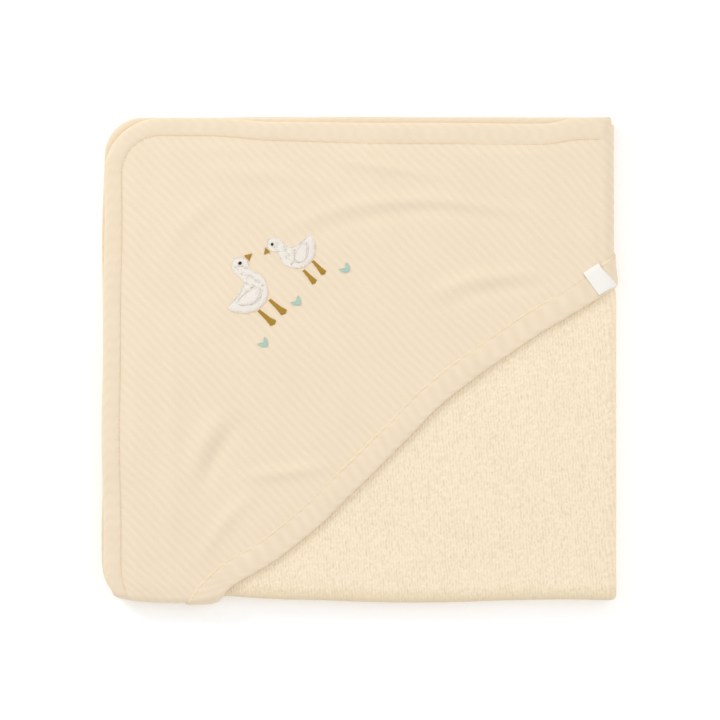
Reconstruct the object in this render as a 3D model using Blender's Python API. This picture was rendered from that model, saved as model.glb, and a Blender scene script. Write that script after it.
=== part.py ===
"""Hooded baby towel, folded in quarters and lying flat.

The towel is one square of terry cloth, folded in half towards the front edge and in half again
towards the right. The lower leaf and the upper leaf are each a hairpin of two cloth layers, and
the upper leaf opens like a book cover about the fold on the right. The hood is a panel of ribbed
cotton sewn over the towel's back left corner, with a bound mouth that crosses the upper leaf.
Units are metres, +Z is up, and the origin is under the middle of the folded towel.
"""

import math

import bmesh
import bpy
from mathutils import Vector

# The folded towel.
LEAF_WIDTH = 0.386
LEAF_DEPTH = 0.364
LAYER_THICKNESS = 0.004
LAYER_GAP = 0.0003
CLEARANCE = 0.0002

# The towel's corners, at the back left of each leaf.
HOOD_CORNER_RADIUS = 0.040
LOWER_CORNER_RADIUS = 0.026
ARC_STEPS = 10

# The tape that binds the towel's cut edges, folded over them.
TAPE_WIDTH = 0.0148
TAPE_THICKNESS = 0.0008
SEWN_EDGE_THICKNESS = 0.0020
SEAM_LAP = 0.0030

# The hood and the tape along its mouth.
HOOD_THICKNESS = 0.0018
HOOD_EDGE_THICKNESS = 0.0008
MOUTH_TAPE_WIDTH = 0.0195
MOUTH_TAPE_LIP = 0.0006
MOUTH_STEPS = 6

# The sewn-in tab on the end of the mouth tape.
LABEL_LENGTH = 0.0190
LABEL_WIDTH = 0.0150
LABEL_THICKNESS = 0.0007
LABEL_TURN = math.radians(35.0)

# The embroidery: a raised patch of thread, and details stitched over it.
THREAD_HEIGHT = 0.0006
DETAIL_HEIGHT = 0.0005
BIRD_HEIGHT = 0.060

# Heights of the stack, from the surface that the towel lies on.
LAYER_PITCH = LAYER_THICKNESS + LAYER_GAP
LOWER_BASE = 0.0
UPPER_BASE = 2.0 * LAYER_PITCH
TOP_LAYER_BASE = UPPER_BASE + LAYER_PITCH
HOOD_BASE = TOP_LAYER_BASE + LAYER_THICKNESS + CLEARANCE
HOOD_TOP = HOOD_BASE + HOOD_THICKNESS
MOUTH_TAPE_TOP = HOOD_TOP + MOUTH_TAPE_LIP + CLEARANCE
THREAD_BASE = HOOD_TOP + CLEARANCE
DETAIL_BASE = THREAD_BASE + THREAD_HEIGHT + CLEARANCE
LABEL_BASE = MOUTH_TAPE_TOP + CLEARANCE
STACK_TOP = max(LABEL_BASE + LABEL_THICKNESS, DETAIL_BASE + DETAIL_HEIGHT)

LEFT = -0.5 * LEAF_WIDTH
RIGHT = 0.5 * LEAF_WIDTH
FRONT = -0.5 * LEAF_DEPTH
BACK = 0.5 * LEAF_DEPTH

# The upper leaf turns about this line, half way up the right-hand fold.
FOLD_AXIS = Vector((RIGHT, 0.0, 0.5 * STACK_TOP + CLEARANCE))

# The free edge of the hood's mouth, as shares of the leaf's half width and half depth.
MOUTH_EDGE = (
    (0.975, 0.285),
    (0.720, 0.121),
    (0.391, -0.118),
    (0.119, -0.393),
    (-0.134, -0.661),
    (-0.348, -0.846),
    (-0.510, -0.965),
)

# A bird's outline, from the tail's tip over the back, facing +X, as shares of its height.
BIRD_OUTLINE = (
    (-0.34, 0.53),
    (-0.12, 0.55),
    (0.02, 0.62),
    (0.03, 0.80),
    (0.13, 0.92),
    (0.25, 0.82),
    (0.19, 0.68),
    (0.24, 0.50),
    (0.12, 0.29),
    (-0.10, 0.26),
    (-0.26, 0.36),
)
WING_OUTLINE = (
    (-0.22, 0.49),
    (-0.04, 0.51),
    (0.10, 0.44),
    (0.04, 0.34),
    (-0.10, 0.36),
)
BEAK_OUTLINE = (
    (0.262, 0.858),
    (0.352, 0.800),
    (0.262, 0.752),
)
SPRIG_OUTLINE = (
    (0.0, 0.0),
    (0.0035, 0.0030),
    (0.0040, 0.0070),
    (0.0012, 0.0052),
    (0.0, 0.0036),
    (-0.0012, 0.0052),
    (-0.0040, 0.0070),
    (-0.0035, 0.0030),
)

# Where the embroidery stands, on a ground line square to the hood's corner.
MOTIF_TURN = math.radians(45.0)
MOTIF_GROUND = 0.066
BIRDS = (
    ("bird_left", -0.022, 1.0, 1.0),
    ("bird_right", 0.023, -1.0, 0.86),
)
SPRIGS = (
    ("sprig_left", -0.042, 0.056),
    ("sprig_middle", -0.0025, 0.0605),
    ("sprig_right", 0.041, 0.0525),
)

COLOURS = {
    "terry": ((0.930, 0.800, 0.610), 0.95),
    "ribbed_cotton": ((0.930, 0.800, 0.620), 0.90),
    "binding": ((0.925, 0.790, 0.610), 0.88),
    "label": ((0.92, 0.90, 0.86), 0.80),
    "white_thread": ((0.93, 0.91, 0.86), 0.60),
    "ochre_thread": ((0.47, 0.31, 0.07), 0.60),
    "brown_thread": ((0.07, 0.05, 0.04), 0.60),
    "sage_thread": ((0.50, 0.66, 0.60), 0.60),
}


def material(name):
    """The material of that name, made on first use."""
    found = bpy.data.materials.get(name)
    if found:
        return found
    colour, roughness = COLOURS[name]
    made = bpy.data.materials.new(name)
    made.use_nodes = True
    shader = made.node_tree.nodes["Principled BSDF"]
    shader.inputs["Base Color"].default_value = (*colour, 1.0)
    shader.inputs["Roughness"].default_value = roughness
    shader.inputs["Metallic"].default_value = 0.0
    return made


def finish_mesh(bm, name, material_name, parent, origin):
    """A new object from the bmesh, whose points are in world space, with its origin at origin."""
    bmesh.ops.recalc_face_normals(bm, faces=bm.faces)
    bmesh.ops.translate(bm, verts=bm.verts, vec=-origin)
    mesh = bpy.data.meshes.new(name)
    bm.to_mesh(mesh)
    bm.free()
    piece = bpy.data.objects.new(name, mesh)
    bpy.context.scene.collection.objects.link(piece)
    if material_name:
        mesh.materials.append(material(material_name))
    piece.parent = parent
    piece.location = origin - (parent.location if parent else Vector())
    return piece


def prism(outline, low, high):
    """A bmesh of the closed outline, extruded from height low to height high."""
    bm = bmesh.new()
    bottom = bm.faces.new([bm.verts.new((x, y, low)) for x, y in outline])
    grown = bmesh.ops.extrude_face_region(bm, geom=[bottom])
    raised = [v for v in grown["geom"] if isinstance(v, bmesh.types.BMVert)]
    bmesh.ops.translate(bm, verts=raised, vec=(0.0, 0.0, high - low))
    return bm


def cloth_plate(name, material_name, outline, low, high, parent, origin):
    """A flat closed piece of the outline between two heights."""
    return finish_mesh(prism(outline, low, high), name, material_name, parent, origin)


def smooth_path(points, steps, closed=False):
    """Catmull-Rom curve through the points, with steps pieces between each two."""
    count = len(points)
    spans = count if closed else count - 1
    path = []
    for i in range(spans):
        if closed:
            p0, p1, p2, p3 = (Vector(points[(i + k - 1) % count]) for k in range(4))
        else:
            p1, p2 = Vector(points[i]), Vector(points[i + 1])
            p0 = Vector(points[i - 1]) if i > 0 else 2.0 * p1 - p2
            p3 = Vector(points[i + 2]) if i + 2 < count else 2.0 * p2 - p1
        for k in range(steps):
            t = k / steps
            path.append(
                0.5
                * (
                    2.0 * p1
                    + (p2 - p0) * t
                    + (2.0 * p0 - 5.0 * p1 + 4.0 * p2 - p3) * t * t
                    + (3.0 * p1 - p0 - 3.0 * p2 + p3) * t * t * t
                )
            )
    if not closed:
        path.append(Vector(points[-1]))
    return path


def leaf_edge(inset, corner_radius, front, right):
    """The cut edge of a leaf, from its front left, round the back left corner, to its back right."""
    x = LEFT + inset
    y = BACK - inset
    radius = max(corner_radius - inset, 0.001)
    centre = Vector((x + radius, y - radius))
    path = [Vector((x, front))]
    for k in range(ARC_STEPS + 1):
        turn = math.pi - 0.5 * math.pi * k / ARC_STEPS
        path.append(centre + radius * Vector((math.cos(turn), math.sin(turn))))
    path.append(Vector((right, y)))
    return path


def inward_offsets(path, distance):
    """The path moved to its right-hand side by distance."""
    moved = []
    for i, point in enumerate(path):
        before = path[max(i - 1, 0)]
        after = path[min(i + 1, len(path) - 1)]
        along = (after - before).normalized()
        moved.append(point + distance * Vector((along.y, -along.x)))
    return moved


def tape(name, outer, inner, levels, lip, parent, origin):
    """A folded tape: a C section run along two edges, its fold on outer and its mouth on inner.

    levels are the heights of its underside, its slot's floor and roof, and its top.
    lip is how far the slot's end stays from the fold.
    """
    base, floor, roof, top = levels
    bm = bmesh.new()
    rings = []
    for edge, mouth in zip(outer, inner):
        bight = edge + lip * (mouth - edge).normalized()
        section = (
            (mouth, base),
            (edge, base),
            (edge, top),
            (mouth, top),
            (mouth, roof),
            (bight, roof),
            (bight, floor),
            (mouth, floor),
        )
        rings.append([bm.verts.new((p.x, p.y, z)) for p, z in section])
    for ring, following in zip(rings, rings[1:]):
        count = len(ring)
        for k in range(count):
            n = (k + 1) % count
            bm.faces.new((ring[k], ring[n], following[n], following[k]))
    bm.faces.new(rings[0])
    bm.faces.new(reversed(rings[-1]))
    return finish_mesh(bm, name, "binding", parent, origin)


def boolean(target, tool, operation):
    """Applies an exact Boolean to target and leaves the tool out of the model."""
    modifier = target.modifiers.new(tool.name, "BOOLEAN")
    modifier.operation = operation
    modifier.solver = "EXACT"
    modifier.object = tool
    tool.hide_render = True
    tool.display_type = "WIRE"
    tool.hide_set(True)


def hairpin(base):
    """The outline in Y and Z of two cloth layers joined by a round fold at the front."""
    outer = 0.5 * (LAYER_PITCH + LAYER_THICKNESS)
    inner = 0.5 * LAYER_GAP
    centre_y = FRONT + outer
    centre_z = base + outer
    outline = [(BACK, base)]
    for k in range(ARC_STEPS + 1):
        turn = -0.5 * math.pi - math.pi * k / ARC_STEPS
        outline.append((centre_y + outer * math.cos(turn), centre_z + outer * math.sin(turn)))
    outline.append((BACK, base + 2.0 * outer))
    outline.append((BACK, centre_z + inner))
    for k in range(ARC_STEPS + 1):
        turn = -1.5 * math.pi + math.pi * k / ARC_STEPS
        outline.append((centre_y + inner * math.cos(turn), centre_z + inner * math.sin(turn)))
    outline.append((BACK, centre_z - inner))
    return outline


def edge_heights(layer_base):
    """The lowest and highest point of a layer's flattened edge, inside its tape."""
    middle = layer_base + 0.5 * LAYER_THICKNESS
    return middle - 0.5 * SEWN_EDGE_THICKNESS, middle + 0.5 * SEWN_EDGE_THICKNESS


def leaf(name, base, corner_radius, parent, origin):
    """Two layers of terry with a fold at the front and flattened edges for the tape."""
    bm = bmesh.new()
    section = bm.faces.new([bm.verts.new((LEFT, y, z)) for y, z in hairpin(base)])
    grown = bmesh.ops.extrude_face_region(bm, geom=[section])
    far = [v for v in grown["geom"] if isinstance(v, bmesh.types.BMVert)]
    bmesh.ops.translate(bm, verts=far, vec=(LEAF_WIDTH, 0.0, 0.0))
    cloth = finish_mesh(bm, name, "terry", parent, origin)

    beyond = LEAF_DEPTH
    seam = TAPE_WIDTH + CLEARANCE
    kept = leaf_edge(seam, corner_radius, FRONT - beyond, RIGHT + beyond)
    kept.append(Vector((RIGHT + beyond, FRONT - beyond)))
    tool = cloth_plate(
        name + "_outline", None, kept, base - beyond, base + beyond, parent, origin
    )
    boolean(cloth, tool, "INTERSECT")

    fold_radius = 0.5 * (LAYER_PITCH + LAYER_THICKNESS)
    for number in range(2):
        low, high = edge_heights(base + number * LAYER_PITCH)
        start = FRONT + fold_radius
        outer = leaf_edge(TAPE_THICKNESS + CLEARANCE, corner_radius, start, RIGHT - LAYER_GAP)
        inner = leaf_edge(seam + SEAM_LAP, corner_radius, start, RIGHT - LAYER_GAP)
        strip = cloth_plate(
            f"{name}_edge_{number}", None, outer + inner[::-1], low, high, parent, origin
        )
        boolean(cloth, strip, "UNION")
    return cloth


def edge_tape(name, layer_base, corner_radius, top, roof, parent, origin):
    """The tape on the two cut edges of one layer."""
    low, high = edge_heights(layer_base)
    fold_radius = 0.5 * (LAYER_PITCH + LAYER_THICKNESS)
    start = FRONT + fold_radius
    outer = leaf_edge(0.0, corner_radius, start, RIGHT)
    inner = leaf_edge(TAPE_WIDTH, corner_radius, start, RIGHT)
    levels = (layer_base, low - CLEARANCE, roof, top)
    return tape(name, outer, inner, levels, TAPE_THICKNESS, parent, origin)


def mouth_path():
    """The hood mouth's free edge, from the right-hand fold to the front fold."""
    points = [(0.5 * LEAF_WIDTH * u, 0.5 * LEAF_DEPTH * v) for u, v in MOUTH_EDGE]
    return smooth_path(points, MOUTH_STEPS)


def hood_outline(seam_inset, mouth_inset):
    """The hood's outline, held back from the tape along the towel's edge and along its mouth."""
    sewn = leaf_edge(seam_inset, HOOD_CORNER_RADIUS, FRONT + LAYER_GAP, RIGHT - LAYER_GAP)
    mouth = inward_offsets(mouth_path(), mouth_inset)
    first = mouth[0]
    last = mouth[-1]
    side = Vector((RIGHT - LAYER_GAP, first.y + (RIGHT - first.x) * 0.5))
    front = Vector((last.x - (last.y - FRONT) * 0.5, FRONT + LAYER_GAP))
    return sewn + [side] + mouth + [front]


def hood_panel(parent, origin):
    """The ribbed panel, with thin edges that the tapes hold."""
    body = hood_outline(TAPE_WIDTH + CLEARANCE, MOUTH_TAPE_WIDTH + CLEARANCE)
    panel = cloth_plate("hood_panel", "ribbed_cotton", body, HOOD_BASE, HOOD_TOP, parent, origin)
    low, high = hood_edge_heights()
    lap = TAPE_THICKNESS + CLEARANCE
    sewn_outer = leaf_edge(lap, HOOD_CORNER_RADIUS, FRONT + 3.0 * LAYER_GAP, RIGHT - 3.0 * LAYER_GAP)
    sewn_inner = leaf_edge(
        TAPE_WIDTH + CLEARANCE + SEAM_LAP,
        HOOD_CORNER_RADIUS,
        FRONT + 3.0 * LAYER_GAP,
        RIGHT - 3.0 * LAYER_GAP,
    )
    strip = cloth_plate(
        "hood_panel_sewn_edge", None, sewn_outer + sewn_inner[::-1], low, high, parent, origin
    )
    boolean(panel, strip, "UNION")
    path = mouth_path()[1:-1]
    mouth_outer = inward_offsets(path, lap)
    mouth_inner = inward_offsets(path, MOUTH_TAPE_WIDTH + CLEARANCE + SEAM_LAP)
    strip = cloth_plate(
        "hood_panel_mouth_edge", None, mouth_outer + mouth_inner[::-1], low, high, parent, origin
    )
    boolean(panel, strip, "UNION")
    return panel


def hood_edge_heights():
    """The lowest and highest point of the hood's thin edge."""
    low = HOOD_BASE + 0.5 * (HOOD_THICKNESS - HOOD_EDGE_THICKNESS)
    return low, low + HOOD_EDGE_THICKNESS


def mouth_tape(parent, origin):
    """The tape over the hood's free edge."""
    low, high = hood_edge_heights()
    outer = mouth_path()
    inner = inward_offsets(outer, MOUTH_TAPE_WIDTH)
    levels = (HOOD_BASE, low - CLEARANCE, high + CLEARANCE, MOUTH_TAPE_TOP)
    return tape("hood_mouth_tape", outer, inner, levels, TAPE_THICKNESS, parent, origin)


def label(parent, origin):
    """The woven tab, sewn over the end of the mouth tape at the right-hand fold."""
    path = inward_offsets(mouth_path(), 0.62 * MOUTH_TAPE_WIDTH)
    end = path[0]
    reach = 0.5 * math.hypot(LABEL_LENGTH, LABEL_WIDTH)
    centre = Vector((min(end.x, RIGHT - reach), end.y))
    turn_x = Vector((math.cos(LABEL_TURN), math.sin(LABEL_TURN)))
    turn_y = Vector((-turn_x.y, turn_x.x))
    corners = ((-0.5, -0.5), (0.5, -0.5), (0.5, 0.5), (-0.5, 0.5))
    outline = [
        centre + turn_x * (LABEL_WIDTH * a) + turn_y * (LABEL_LENGTH * b) for a, b in corners
    ]
    return cloth_plate(
        "label_tab", "label", outline, LABEL_BASE, LABEL_BASE + LABEL_THICKNESS, parent, origin
    )


def on_motif(x, y):
    """A point of the embroidery's own plan, turned to face out of the hood's corner."""
    c = math.cos(MOTIF_TURN)
    s = math.sin(MOTIF_TURN)
    return Vector((c * x - s * y, s * x + c * y))


def disc(x, y, radius):
    """A round outline."""
    turns = [2.0 * math.pi * k / ARC_STEPS for k in range(ARC_STEPS)]
    return [(x + radius * math.cos(t), y + radius * math.sin(t)) for t in turns]


def leg_outline(x, height):
    """A straight leg that widens into a wedge-shaped foot."""
    half = 0.020 * height
    return (
        (x - half, 0.235 * height),
        (x - 0.024 * height, 0.085 * height),
        (x - 0.034 * height, -0.012 * height),
        (x + 0.016 * height, -0.036 * height),
        (x + 0.066 * height, -0.006 * height),
        (x + 0.040 * height, 0.070 * height),
        (x + half, 0.235 * height),
    )


def bird(name, place, facing, share, parent, origin):
    """An embroidered bird: body, wing, eye, beak and two legs, each a patch of thread."""
    height = BIRD_HEIGHT * share

    def patch(part, material_name, outline, base, thickness):
        points = [on_motif(place + facing * x, MOTIF_GROUND + y) for x, y in outline]
        cloth_plate(
            f"{name}_{part}", material_name, points, base, base + thickness, parent, origin
        )

    def scaled(points):
        return [(height * x, height * y) for x, y in points]

    body = smooth_path(scaled(BIRD_OUTLINE), 3, closed=True)
    wing = smooth_path(scaled(WING_OUTLINE), 3, closed=True)
    patch("body", "white_thread", body, THREAD_BASE, THREAD_HEIGHT)
    patch("wing", "white_thread", wing, DETAIL_BASE, DETAIL_HEIGHT)
    eye = disc(0.16 * height, 0.82 * height, 0.022 * height)
    patch("eye", "brown_thread", eye, DETAIL_BASE, DETAIL_HEIGHT)
    patch("beak", "ochre_thread", scaled(BEAK_OUTLINE), THREAD_BASE, THREAD_HEIGHT)
    for part, x in (("back_leg", -0.09), ("front_leg", 0.10)):
        outline = leg_outline(x * height, height)
        patch(part, "ochre_thread", outline, THREAD_BASE, THREAD_HEIGHT)


def sprig(name, x, y, parent, origin):
    """A pair of small leaves."""
    outline = [on_motif(x + dx, y + dy) for dx, dy in SPRIG_OUTLINE]
    top = THREAD_BASE + THREAD_HEIGHT
    cloth_plate(name, "sage_thread", outline, THREAD_BASE, top, parent, origin)


def build():
    """The folded towel, with everything on the upper leaf parented to the fold's empty."""
    for old in list(bpy.data.objects):
        bpy.data.objects.remove(old, do_unlink=True)

    fold = bpy.data.objects.new("right_fold", None)
    fold.location = FOLD_AXIS
    bpy.context.scene.collection.objects.link(fold)
    base = Vector()
    axis = FOLD_AXIS.copy()

    leaf("towel_lower_leaf", LOWER_BASE, LOWER_CORNER_RADIUS, None, base)
    leaf("towel_upper_leaf", UPPER_BASE, HOOD_CORNER_RADIUS, fold, axis)

    for name, layer_base, radius, parent, origin in (
        ("edge_tape_bottom", LOWER_BASE, LOWER_CORNER_RADIUS, None, base),
        ("edge_tape_lower_inner", LOWER_BASE + LAYER_PITCH, LOWER_CORNER_RADIUS, None, base),
        ("edge_tape_upper_inner", UPPER_BASE, HOOD_CORNER_RADIUS, fold, axis),
    ):
        top = layer_base + LAYER_THICKNESS
        roof = edge_heights(layer_base)[1] + CLEARANCE
        edge_tape(name, layer_base, radius, top, roof, parent, origin)
    hood_roof = hood_edge_heights()[1] + CLEARANCE
    edge_tape(
        "edge_tape_hood",
        TOP_LAYER_BASE,
        HOOD_CORNER_RADIUS,
        MOUTH_TAPE_TOP,
        hood_roof,
        fold,
        axis,
    )

    hood_panel(fold, axis)
    mouth_tape(fold, axis)
    label(fold, axis)
    for name, place, facing, share in BIRDS:
        bird(name, place, facing, share, fold, axis)
    for name, x, y in SPRIGS:
        sprig(name, x, y, fold, axis)


build()
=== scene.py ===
"""The look of the folded hooded towel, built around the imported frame.

Cloth is laid out flat first and then folded. A point of the unfolded towel has three coordinates:
s across the fold on the right (negative on the upper leaf), t across the fold at the front
(positive on the outer layers), and h, its height off the middle of the cloth on the face side.
fold() turns them into a place. The hood uses the same map, through the flat plan x, y of the top
layer. Everything is in metres.
"""

import math

import bpy
import numpy as np
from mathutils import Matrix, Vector


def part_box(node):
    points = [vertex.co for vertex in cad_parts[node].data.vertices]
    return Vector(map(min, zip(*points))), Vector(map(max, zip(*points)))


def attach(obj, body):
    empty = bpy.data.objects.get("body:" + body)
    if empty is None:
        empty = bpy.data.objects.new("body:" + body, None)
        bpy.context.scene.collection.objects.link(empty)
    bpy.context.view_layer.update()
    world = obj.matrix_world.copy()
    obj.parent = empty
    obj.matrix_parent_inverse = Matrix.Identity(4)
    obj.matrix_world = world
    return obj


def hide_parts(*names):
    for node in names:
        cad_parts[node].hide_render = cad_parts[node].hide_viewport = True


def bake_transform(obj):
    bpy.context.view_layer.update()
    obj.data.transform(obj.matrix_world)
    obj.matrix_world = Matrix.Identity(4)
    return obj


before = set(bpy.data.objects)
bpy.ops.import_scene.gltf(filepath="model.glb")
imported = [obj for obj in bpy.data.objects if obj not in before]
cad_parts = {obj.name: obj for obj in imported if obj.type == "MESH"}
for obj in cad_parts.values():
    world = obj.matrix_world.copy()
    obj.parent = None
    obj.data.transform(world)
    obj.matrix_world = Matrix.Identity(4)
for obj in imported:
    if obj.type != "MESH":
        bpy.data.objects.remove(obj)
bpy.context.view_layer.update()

# ---------------------------------------------------------------- sizes, from the frame

LOWER_LOW, LOWER_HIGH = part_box("towel_lower_leaf")
UPPER_LOW, UPPER_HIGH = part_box("towel_upper_leaf")
TAPE_LOW, TAPE_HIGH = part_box("edge_tape_hood")
LEFT = TAPE_LOW[0]
RIGHT = TAPE_HIGH[0]
BACK = TAPE_HIGH[1]
FRONT = LOWER_LOW[1]

HALF_SLIT = 0.00015
LAYER = 0.5 * (LOWER_HIGH[2] - LOWER_LOW[2]) - HALF_SLIT
LEAF_GAP = UPPER_LOW[2] - LOWER_HIGH[2]
PITCH = LAYER + LEAF_GAP
HALF = 0.5 * LAYER

FRONT_RADIUS = 0.5 * PITCH
SIDE_RADIUS = PITCH
SIDE_X = RIGHT - SIDE_RADIUS - FRONT_RADIUS - HALF
SIDE_Z = 0.5 * (LOWER_LOW[2] + UPPER_HIGH[2])
FRONT_Y = FRONT + FRONT_RADIUS + HALF
SIDE_BEND = 0.5 * math.pi * SIDE_RADIUS
FRONT_BEND = 0.5 * math.pi * FRONT_RADIUS
S_END = SIDE_BEND + SIDE_X - LEFT
T_END = FRONT_BEND + BACK - FRONT_Y
SIDE_SHARE = SIDE_RADIUS / (SIDE_RADIUS + FRONT_RADIUS + HALF)
FRONT_SHARE = FRONT_RADIUS / (FRONT_RADIUS + HALF)

TAPE_WIDTH = 0.0148
BACK_TAPE_EXTRA = 0.0035
MOUTH_WIDTH = 0.0195
HOOD_RADIUS = 0.042
CORNER_RADIUS = 0.027
HOOD_END = SIDE_X + 0.96 * SIDE_BEND / SIDE_SHARE
HOOD_TUCK = FRONT_Y - 1.15 * FRONT_BEND / FRONT_SHARE
HOOD_UNDER = HALF + 0.00025
HOOD_CLOTH = 0.0013
RIB_DEPTH = 0.00014
TAPE_RIB_DEPTH = 0.00008
MOUTH_THICKNESS = 0.0031
MOUTH_SEAM_HEIGHT = 0.0027
HOOD_COLUMNS = 104
RIB_PITCH = 0.0056
RIB_ANGLE = math.radians(44.5)
TAPE_RIB_ANGLES = (math.radians(56.0), math.radians(-36.0))
MOUTH_RIB_ANGLE = math.radians(98.0)
TAPE_ON_HOOD = 0.0026
EDGE_HALF = 0.0011
STITCH_PITCH = 0.0030
STITCH_SHARE = 0.88
STITCH_RADIUS = 0.00020
THREAD_RADIUS = 0.00028
THREAD_PITCH = 0.00046
LABEL_WIDTH = 0.0150
LABEL_LENGTH = 0.0198
LABEL_TURN = math.radians(31.0)
LABEL_SHIFT = (-0.0003, -0.0018)
LABEL_HEIGHT = 0.0034
LABEL_CLOTH = (0.0004, -0.0001)
TERRY_TURN = -0.07

# The free edge of the hood's mouth on the flat plan, past the folds at both ends, as shares of
# the plan's half width and half depth.
MOUTH_POINTS = (
    (1.170, 0.420),
    (0.975, 0.285),
    (0.720, 0.121),
    (0.391, -0.118),
    (0.119, -0.393),
    (-0.134, -0.661),
    (-0.348, -0.846),
    (-0.510, -0.965),
    (-0.600, -1.070),
    (-0.680, -1.190),
)


# ---------------------------------------------------------------- small tools


def smooth(x):
    """0 below 0, 1 above 1, and smooth between."""
    x = np.clip(x, 0.0, 1.0)
    return x * x * (3.0 - 2.0 * x)


def spline(points, steps):
    """Catmull-Rom curve through the points, as an array."""
    p = np.array(points, float)
    p = np.vstack((2 * p[0] - p[1], p, 2 * p[-1] - p[-2]))
    t = np.linspace(0.0, 1.0, steps, endpoint=False)[:, None]
    out = []
    for i in range(1, len(p) - 2):
        a, b, c, d = p[i - 1], p[i], p[i + 1], p[i + 2]
        out.append(
            0.5
            * (
                2 * b
                + (c - a) * t
                + (2 * a - 5 * b + 4 * c - d) * t**2
                + (3 * b - a - 3 * c + d) * t**3
            )
        )
    return np.vstack(out + [p[-2:-1]])


def evenly(path, spacing, closed=False):
    """The path again, with points at even distances."""
    if closed:
        path = np.vstack((path, path[:1]))
    lengths = np.concatenate(([0.0], np.cumsum(np.linalg.norm(np.diff(path, axis=0), axis=1))))
    count = max(2, int(round(lengths[-1] / spacing)))
    at = np.linspace(0.0, lengths[-1], count + 1)
    out = np.stack([np.interp(at, lengths, path[:, k]) for k in range(path.shape[1])], axis=1)
    if closed:
        return out[:-1], at[:-1]
    return out, at


def rightward(path, closed=False):
    """Unit vectors to the right of a flat path's direction."""
    if closed:
        along = np.roll(path, -1, axis=0) - np.roll(path, 1, axis=0)
    else:
        along = np.gradient(path, axis=0)
    along /= np.linalg.norm(along, axis=1)[:, None]
    return np.stack((along[:, 1], -along[:, 0]), axis=1)


# ---------------------------------------------------------------- the fold


def fold(s, t, h):
    """Places of points on the folded towel."""
    s, t, h = np.broadcast_arrays(s, t, h)
    front = FRONT_RADIUS + h
    turn = np.clip(t / FRONT_RADIUS, -0.5 * math.pi, 0.5 * math.pi)
    offset = front * np.sin(turn)
    y = FRONT_Y - front * np.cos(turn) + np.maximum(np.abs(t) - FRONT_BEND, 0.0)
    side = SIDE_RADIUS + offset
    turn = np.clip(s / SIDE_RADIUS, -0.5 * math.pi, 0.5 * math.pi)
    x = SIDE_X + side * np.cos(turn) - np.maximum(np.abs(s) - SIDE_BEND, 0.0)
    z = SIDE_Z - side * np.sin(turn)
    lean, drift, rise = slack(s, t)
    return np.stack((x + lean, y + drift, z + rise), axis=-1)


def slack(s, t):
    """How far each layer has slipped, in x, y and z: hand-folded edges never line up.

    Every amount is a length in metres, and every power says how fast it fades from its edge.
    """
    upper = smooth(0.5 - s / (2.0 * SIDE_BEND))
    outer = smooth(0.5 + t / (2.0 * FRONT_BEND))
    from_side = np.clip(np.abs(s) / S_END, 0.0, 1.0)
    from_front = np.clip(np.abs(t) / T_END, 0.0, 1.0)
    layer = 1.0 + upper + 2.0 * outer
    wave_y = np.sin(9.0 * from_front + 1.9 * layer) + 0.5 * np.sin(21.0 * from_front + layer)
    wave_x = np.sin(8.0 * from_side + 2.3 * layer) + 0.5 * np.sin(19.0 * from_side + 2.0 * layer)
    top = upper * outer
    under = 1.0 - top
    # The left edges wander, and lean in at the back.
    lean = from_side**3 * (0.0007 * wave_y - 0.0004 * under + 0.0030 * from_front**8)
    # The left end of the front fold is tucked in.
    lean += 0.0085 * from_side**8 * np.clip(1.0 - np.abs(t) / 0.032, 0.0, 1.0) ** 3
    # The fold on the right is pulled in beside the hood.
    lean -= 0.0035 * smooth(1.0 - np.abs(s) / 0.060) * smooth((np.abs(t) - 0.225) / 0.030)
    # The back edges wander, and the top one is drawn forward over most of its length.
    pulled = smooth((s + 0.306) / 0.050) * smooth((-0.024 - s) / 0.030)
    drift = from_front**3 * (0.0005 * wave_x + 0.0004 * under)
    drift -= 0.0040 * top * from_front**6 * pulled
    # The front edge is drawn in, most at its left corner and just beside the mouth tape.
    front_edge = 0.0008 + 0.0012 * np.sin(11.0 * from_side + 0.4) + 0.0062 * from_side**16
    beside_mouth = smooth((0.800 - from_side) / 0.048)
    front_edge += 0.0032 * beside_mouth * np.clip((from_side - 0.62) / 0.14, 0.0, 1.0) ** 2
    front_edge *= (1.0 - from_front) ** 7
    # The top layer swells a little.
    rise = 0.00025 * top * np.sin(7.0 * from_side) * np.sin(8.0 * from_front)
    return lean, drift + front_edge, rise


def flat_s(x):
    """The s of a place x on the top layer's flat plan, with true lengths on its outer face."""
    past = x - SIDE_X
    return -SIDE_BEND + np.where(past > 0.0, past * SIDE_SHARE, past)


def flat_t(y):
    """The t of a place y on the top layer's flat plan, with true lengths on its outer face."""
    past = y - FRONT_Y
    return FRONT_BEND + np.where(past < 0.0, past * FRONT_SHARE, past)


def on_top(x, y, h):
    """Places of points given on the top layer's flat plan."""
    return fold(flat_s(x), flat_t(y), h)


# ---------------------------------------------------------------- the cloth's relief

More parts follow.
